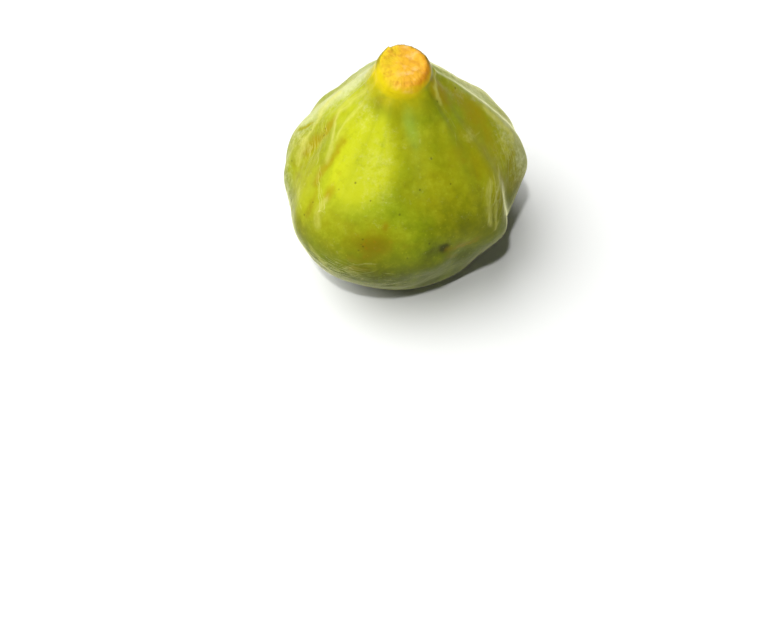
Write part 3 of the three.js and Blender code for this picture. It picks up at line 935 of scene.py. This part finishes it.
def with_dots(s, place, colour):
    """A sprinkling of pale dots and a few dark specks, the pores of the skin."""
    dots = s.fade(s.cells(place, PALE_DOTS), *PALE_DOT_SIZE)
    colour = s.over(colour, PALE_MOTTLE, dots, PALE_DOT_STRENGTH)
    specks = s.fade(s.cells(place, DARK_SPECKS), *DARK_SPECK_SIZE)
    chosen = s.ramp(s.noise(place, SPECK_CHOICE, detail=1), *SPECK_CHOSEN)
    away = s.add("VectorMath", operation="LENGTH")
    s.put(away.inputs[0], s.vector("from_dot"))
    ragged = s.times(s.ragged(place, DOT_RAGGED_EDGES, detail=2), DOT_RAGGED)
    given = s.fade(s.plus(away.outputs["Value"], ragged), *DOT_SIZE)
    specks = s.larger(s.times(specks, chosen), given)
    return s.over(colour, SPECK, specks, DARK_SPECK_STRENGTH)


# The cut: cells a metre of the patterns of its face, and the strength of each tone.
CUT_RAGGED_EDGES, FACE_CLOUDS, FACE_GRAIN = 420, 260, 1100
PINK_SPOTS, TAN_SPOTS, RUST_SPECKS = 560, 640, 700
PINK_STRENGTH, TAN_STRENGTH, GRAIN_STRENGTH = 0.7, 0.6, 0.45
RUSTY_RIM_STRENGTH, RUST_SPECK_STRENGTH = 0.9, 0.6
NECK_SHADE_STRENGTH, SKIN_EDGE_STRENGTH = 0.6, 0.75
COLLAR_RAGGED, SCAR_RAGGED, FACE_CLOUDING = 0.5, 1.6, 1.8


def scar_face(s, place, across, inside):
    """The dried face of the cut: yellow at the left, orange at the right, rusty along its right edge."""
    cloudy = s.ragged(place, FACE_CLOUDS, detail=2)
    grain = s.noise(place, FACE_GRAIN, detail=4, roughness=0.7)
    orange = s.ramp(s.plus(across, s.times(cloudy, FACE_CLOUDING)), -0.95, 0.1)
    face = s.mix(orange, SCAR_YELLOW, SCAR_ORANGE)
    pink = s.times(s.ramp(s.noise(place, PINK_SPOTS, detail=3), 0.46, 0.66), s.ramp(across, -0.7, 0.1))
    face = s.over(face, SCAR_PINK, pink, PINK_STRENGTH)
    tan = s.ramp(s.noise(place, TAN_SPOTS, detail=3), 0.5, 0.68)
    face = s.over(face, SCAR_TAN, tan, TAN_STRENGTH)
    face = s.over(face, SCAR_TAN, s.ramp(grain, 0.56, 0.72), GRAIN_STRENGTH)
    rusty = s.times(s.fade(inside, 0.2, 1.9), s.ramp(across, 0.0, 0.7))
    face = s.over(face, SCAR_RUST, rusty, RUSTY_RIM_STRENGTH)
    specks = s.times(s.ramp(s.noise(place, RUST_SPECKS, detail=3), 0.54, 0.66), s.fade(inside, -0.1, 0.7))
    return s.over(face, SCAR_RUST, specks, RUST_SPECK_STRENGTH)


def with_cut(s, place, colour):
    """A yellow collar where the skin ends in front, an olive edge behind, and the scar inside them."""
    ragged = s.ragged(place, CUT_RAGGED_EDGES, detail=5, roughness=0.65)
    collar = s.plus(s.mask("collar"), s.times(ragged, COLLAR_RAGGED))
    colour = s.over(colour, NECK_OLIVE, s.mask("neck_shade"), NECK_SHADE_STRENGTH)
    colour = s.mix(s.ramp(collar, 0.05, 1.0), colour, COLLAR_YELLOW)
    inside = s.plus(s.mask("inside_scar"), s.times(ragged, SCAR_RAGGED))
    face = scar_face(s, place, s.mask("cut_side"), inside)
    colour = s.mix(s.ramp(inside, -0.9, 0.7), colour, face)
    return s.over(colour, SKIN_EDGE, s.mask("cut_edge"), SKIN_EDGE_STRENGTH)


# The skin's fine bumps: cells a metre, their shares, and their height.
PORES, GRAIN, UNEVEN = 900, 1400, 380
GRAIN_IN_FINE, PORES_IN_FINE, LINES_IN_LOW = 0.5, 0.4, 0.35
FINE_HEIGHT, FINE_STRENGTH = 0.05 * MM, 0.6
LOW_HEIGHT, LOW_BUMP_STRENGTH = 0.2 * MM, 0.5
SMOOTHEST, ROUGHEST = 0.44, 0.56
# A thin satin skin over flesh that lets a little light in, with a fine fuzz that lights up at the rim.
SKIN_SURFACE = {
    "IOR": 1.18,
    "Subsurface Weight": 0.12,
    "Subsurface Radius": (1.0, 0.8, 0.1),
    "Subsurface Scale": 1.5 * MM,
    "Sheen Weight": 0.85,
    "Sheen Roughness": 0.25,
    "Sheen Tint": (1.0, 1.0, 0.6, 1.0),
}
FLOOR_SURFACE = {
    "Base Color": (0.92, 0.93, 0.92, 1.0),
    "Roughness": 0.6,
    "Specular IOR Level": 0.2,
}


def skin_material():
    s = Shader("fig_skin")
    place = s.add("TexCoord").outputs["Object"]
    lines = s.larger(fold_lines(s), vein_lines(s, place))
    colour = ground_colour(s, place)
    colour = with_patches(s, place, colour)
    colour = with_bands(s, place, colour)
    colour = with_ribs_and_lines(s, place, colour, lines)
    colour = with_dots(s, place, colour)
    colour = with_cut(s, place, colour)
    colour = s.mix(s.ramp(s.mask("eye"), 0.2, 0.9), colour, EYE_BROWN)

    pores = s.ramp(s.cells(place, PORES), 0.0, 0.4)
    grain = s.noise(place, GRAIN, detail=3, roughness=0.6)
    fine = s.plus(s.times(grain, GRAIN_IN_FINE), s.times(pores, PORES_IN_FINE))
    low = s.plus(s.noise(place, UNEVEN, detail=3), s.times(lines, LINES_IN_LOW))
    normal = s.bump(fine, FINE_HEIGHT, FINE_STRENGTH, s.bump(low, LOW_HEIGHT, LOW_BUMP_STRENGTH))

    s.put(s.surface.inputs["Base Color"], colour)
    s.fill(s.surface, Roughness=s.ramp(grain, 0.3, 0.7, SMOOTHEST, ROUGHEST), Normal=normal)
    s.fill(s.surface, **SKIN_SURFACE)
    return s.material


def floor_material():
    s = Shader("white_surface")
    s.fill(s.surface, **FLOOR_SURFACE)
    return s.material


# ---- pieces
def link(name, data):
    made = bpy.data.objects.new(name, data)
    bpy.context.scene.collection.objects.link(made)
    return made


def make_fig():
    points, masks, places = fig_surface()
    points = into_box(points * MM, *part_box("fig"))
    mesh = grid_mesh("fig_fruit", points)
    for name, grid in masks.items():
        add_mask(mesh, name, grid)
    for name, grid in places.items():
        add_place(mesh, name, grid)
    mesh.materials.append(skin_material())
    fruit = link("fig_fruit", mesh)
    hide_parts("fig")
    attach(fruit, "root")


FLOOR_REACH = 2.0


def make_floor():
    mesh = bpy.data.meshes.new("floor")
    corners = [(FLOOR_REACH * x, FLOOR_REACH * y, 0) for x, y in ((-1, -1), (1, -1), (1, 1), (-1, 1))]
    mesh.from_pydata(corners, [], [(0, 1, 2, 3)])
    mesh.materials.append(floor_material())
    link("floor", mesh)


# ---- light and camera
# The room: bright walls round a dimmer ceiling, by the height of the direction looked in.
ROOM_COLOUR = (1.0, 0.98, 0.87, 1.0)
WALL_STRENGTH, WALL_TOP = 0.55, 0.06
CEILING_STRENGTH, CEILING_START = 0.06, 0.3
LAMP_DISTANCE = 2.8
# Lamps: name, azimuth, elevation, width in metres, power in watts.
LAMPS = (
    ("soft_lamp", 169, 59, 3.6, 112),
    ("small_lamp", -105, 65, 0.16, 28),
)


def make_lamp(name, azimuth, elevation, width, power):
    data = bpy.data.lights.new(name, "AREA")
    data.shape = "DISK"
    data.size = width
    data.energy = power
    lamp = link(name, data)
    around, up = math.radians(azimuth), math.radians(elevation)
    outwards = Vector((math.cos(around) * math.cos(up), math.sin(around) * math.cos(up), math.sin(up)))
    lamp.location = outwards * LAMP_DISTANCE
    lamp.rotation_euler = outwards.to_track_quat("Z", "Y").to_euler()


def make_room():
    world = bpy.data.worlds.new("white_room")
    world.use_nodes = True
    tree = world.node_tree
    background = tree.nodes["Background"]
    background.inputs["Color"].default_value = ROOM_COLOUR
    direction = tree.nodes.new("ShaderNodeSeparateXYZ")
    strength = tree.nodes.new("ShaderNodeMapRange")
    for socket, value in zip(strength.inputs, (0, WALL_TOP, CEILING_START, WALL_STRENGTH, CEILING_STRENGTH)):
        socket.default_value = value
    tree.links.new(tree.nodes.new("ShaderNodeTexCoord").outputs["Generated"], direction.inputs[0])
    tree.links.new(direction.outputs["Z"], strength.inputs[0])
    tree.links.new(strength.outputs[0], background.inputs["Strength"])
    bpy.context.scene.world = world


def make_light():
    make_room()
    for row in LAMPS:
        make_lamp(*row)
    bpy.context.scene.view_settings.view_transform = "Standard"


# The camera, fitted to the photo. It shows the aim point at the aim pixel of the picture.
IMAGE_WIDTH, IMAGE_HEIGHT = 780, 638
SENSOR_WIDTH = 36
LENS = 60
CAMERA_DOWN = 55
CAMERA_DISTANCE = 279.7 * MM
AIM = Vector((0, 0, 20 * MM))
AIM_PIXEL_X, AIM_PIXEL_Y = 405.4, 166.3
CLIP_START, CLIP_END = 0.01, 20


def make_camera():
    """A camera that looks down at the fig, with the aim point at the aim pixel."""
    down = math.radians(CAMERA_DOWN)
    forward = Vector((0, math.cos(down), -math.sin(down)))
    right = Vector((1, 0, 0))
    up = right.cross(forward)
    pixel = SENSOR_WIDTH / IMAGE_WIDTH / LENS * CAMERA_DISTANCE
    aside = (AIM_PIXEL_X - IMAGE_WIDTH / 2) * pixel
    above = (IMAGE_HEIGHT / 2 - AIM_PIXEL_Y) * pixel
    data = bpy.data.cameras.new("camera")
    data.sensor_width = SENSOR_WIDTH
    data.lens = LENS
    data.clip_start = CLIP_START
    data.clip_end = CLIP_END
    camera = link("camera", data)
    camera.matrix_world = Matrix.Translation(
        AIM - forward * CAMERA_DISTANCE - right * aside - up * above
    ) @ Matrix((right, up, -forward)).transposed().to_4x4()
    bpy.context.scene.camera = camera


make_fig()
make_floor()
make_light()
make_camera()

bpy.context.view_layer.update()
